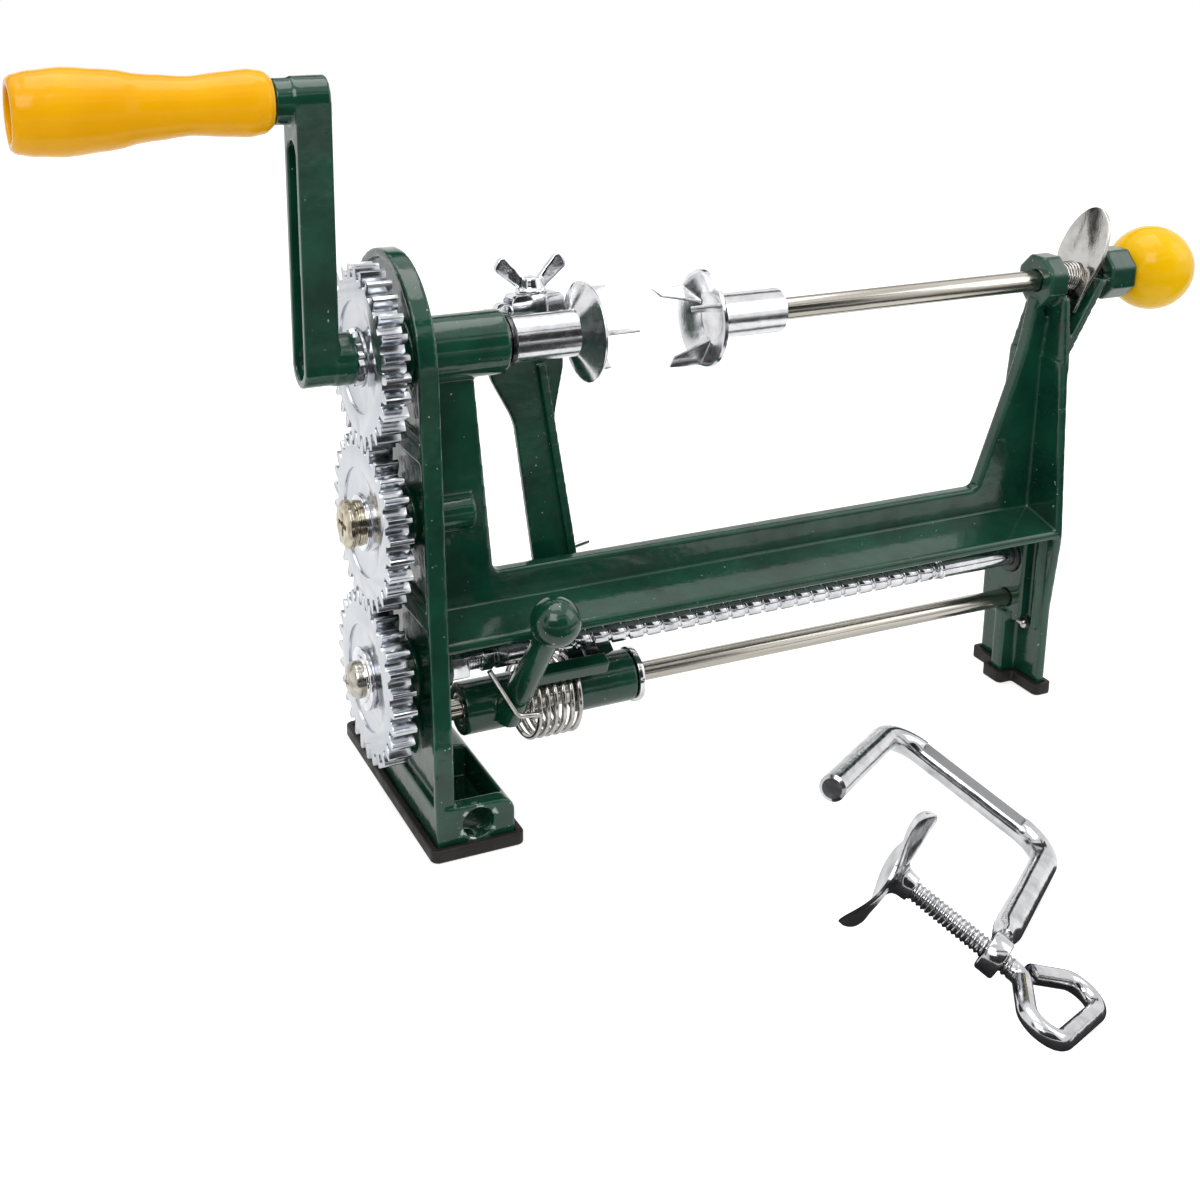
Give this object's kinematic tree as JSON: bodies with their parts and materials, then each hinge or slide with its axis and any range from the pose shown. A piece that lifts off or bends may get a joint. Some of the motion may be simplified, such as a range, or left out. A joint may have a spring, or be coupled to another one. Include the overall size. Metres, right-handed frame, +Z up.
{
  "type": "hand cranked fruit peeler",
  "caption": "Cast bench peeler: a crank drives a forked spindle and, through gears, a leadscrew that carries a sprung blade arm past the fruit; with a table clamp.",
  "frame": {"origin": "on the table, under the outer face of the gear plate, in the plane of the three shafts", "axes": "+X along the beam from the crank to the ball knob, +Y away from the user, +Z up"},
  "size_m": [0.4429, 0.2634, 0.2603],
  "materials": {
    "green_enamel": "dark green gloss enamel on cast iron",
    "black_rubber": "matt black rubber",
    "nickel_rod": "warm nickel plating",
    "chrome": "bright chrome",
    "gear_steel": "pale zinc plated steel",
    "dark_steel": "dark oiled steel",
    "brass_screw": "turned brass tinted steel",
    "amber_plastic": "amber gloss plastic",
    "lemon_plastic": "lemon yellow gloss plastic",
    "black_bush": "black bearing plastic",
    "spring_steel": "bright spring steel",
    "clamp_zinc": "grey zinc plated steel"
  },
  "bodies": {
    "frame": {"frame_casting": "green_enamel", "left_foot_pad": "black_rubber", "right_foot_pad": "black_rubber", "guide_rod": "nickel_rod", "spindle_bush": "dark_steel", "idler_screw": "brass_screw", "idler_washer": "chrome", "leadscrew_bush": "black_bush", "clamp_rod": "clamp_zinc", "latch_spring": "spring_steel"},
    "crank": {"crank_arm": "green_enamel", "crank_screw": "chrome", "spindle": "chrome", "drive_gear": "gear_steel", "drive_chuck": "chrome", "grip_pin": "nickel_rod"},
    "grip": {"grip": "amber_plastic"},
    "idler": {"idler_gear": "gear_steel"},
    "leadscrew": {"leadscrew": "chrome", "leadscrew_gear": "gear_steel", "leadscrew_nut": "chrome", "leadscrew_washer": "chrome", "leadscrew_end_screw": "chrome"},
    "carriage": {"carriage_bush": "nickel_rod", "carriage_ring": "chrome", "torsion_spring": "spring_steel"},
    "lever": {"carriage_lever": "green_enamel", "follower": "dark_steel"},
    "peeling_arm": {"peel_arm": "green_enamel", "blade_cap": "chrome"},
    "blade_slide": {"blade_plate": "chrome", "blade": "chrome"},
    "wing_bolt": {"wing_bolt": "chrome"},
    "tail": {"tail_rod": "nickel_rod", "ball_knob": "lemon_plastic"},
    "tail_chuck": {"tail_chuck": "chrome"},
    "latch": {"latch_plate": "chrome"},
    "clamp_pad": {"clamp_pad": "clamp_zinc"},
    "clamp_screw": {"clamp_screw": "clamp_zinc"}
  },
  "joints": [
    {"name": "crank_turn", "type": "hinge", "parent": "frame", "child": "crank", "pos_m": [0, 0, 0.1655], "axis": [-1, 0, 0], "range_deg": [0, 7560]},
    {"name": "grip_spin", "type": "hinge", "parent": "crank", "child": "grip", "pos_m": [-0.075, 0, 0.2475], "axis": [1, 0, 0], "continuous": true},
    {"name": "idler_turn", "type": "hinge", "parent": "frame", "child": "idler", "pos_m": [0, 0, 0.1095], "axis": [-1, 0, 0], "range_deg": [-7561, 1]},
    {"name": "leadscrew_turn", "type": "hinge", "parent": "frame", "child": "leadscrew", "pos_m": [0, 0, 0.0535], "axis": [-1, 0, 0], "range_deg": [-1, 7561]},
    {"name": "carriage_slide", "type": "slide", "parent": "frame", "child": "carriage", "axis": [1, 0, 0], "range_m": [-0.0001, 0.1471]},
    {"name": "lever_swing", "type": "hinge", "parent": "carriage", "child": "lever", "pos_m": [0.03, 0, 0.035], "axis": [1, 0, 0], "range_deg": [0, 12], "stiffness_Nm_per_rad": 0.5, "springref_deg": -14.32, "deforming": ["torsion_spring"]},
    {"name": "peel_arm_swing", "type": "hinge", "parent": "carriage", "child": "peeling_arm", "pos_m": [0.074, 0, 0.035], "axis": [1, 0, 0], "range_deg": [-40, 0], "stiffness_Nm_per_rad": 0.5, "springref_deg": 20.05, "deforming": ["torsion_spring"]},
    {"name": "blade_adjust", "type": "slide", "parent": "peeling_arm", "child": "blade_slide", "axis": [1, 0, 0], "range_m": [-0.0012, 0.0012]},
    {"name": "wing_bolt_turn", "type": "hinge", "parent": "peeling_arm", "child": "wing_bolt", "pos_m": [0.05932, 0.02769, 0.16669], "axis": [0, 0.1045, 0.9945], "range_deg": [0, 360]},
    {"name": "tail_slide", "type": "slide", "parent": "frame", "child": "tail", "axis": [1, 0, 0], "range_m": [0, 0.1]},
    {"name": "tail_chuck_spin", "type": "hinge", "parent": "tail", "child": "tail_chuck", "pos_m": [0.125, 0, 0.1655], "axis": [-1, 0, 0], "continuous": true},
    {"name": "latch_tilt", "type": "hinge", "parent": "frame", "child": "latch", "pos_m": [0.2705, 0, 0.1528], "axis": [0, 1, 0], "range_deg": [-8, 0], "stiffness_Nm_per_rad": 0.1, "springref_deg": 11.46, "deforming": ["latch_spring"]},
    {"name": "clamp_pad_slide", "type": "slide", "parent": "frame", "child": "clamp_pad", "axis": [0.4941, -0.7507, -0.4386], "range_m": [-0.0001, 0.0211]},
    {"name": "clamp_screw_turn", "type": "hinge", "parent": "clamp_pad", "child": "clamp_screw", "pos_m": [0.11459, -0.17113, 0.02217], "axis": [0.4941, -0.7507, -0.4386], "range_deg": [0, 5040]}
  ],
  "couplings": [
    {"joint": "idler_turn", "follows": "crank_turn", "ratio": -1},
    {"joint": "leadscrew_turn", "follows": "crank_turn", "ratio": 1},
    {"joint": "carriage_slide", "follows": "crank_turn", "m_per_rad": 0.0011141},
    {"joint": "clamp_pad_slide", "follows": "clamp_screw_turn", "m_per_rad": 0.00023873}
  ]
}
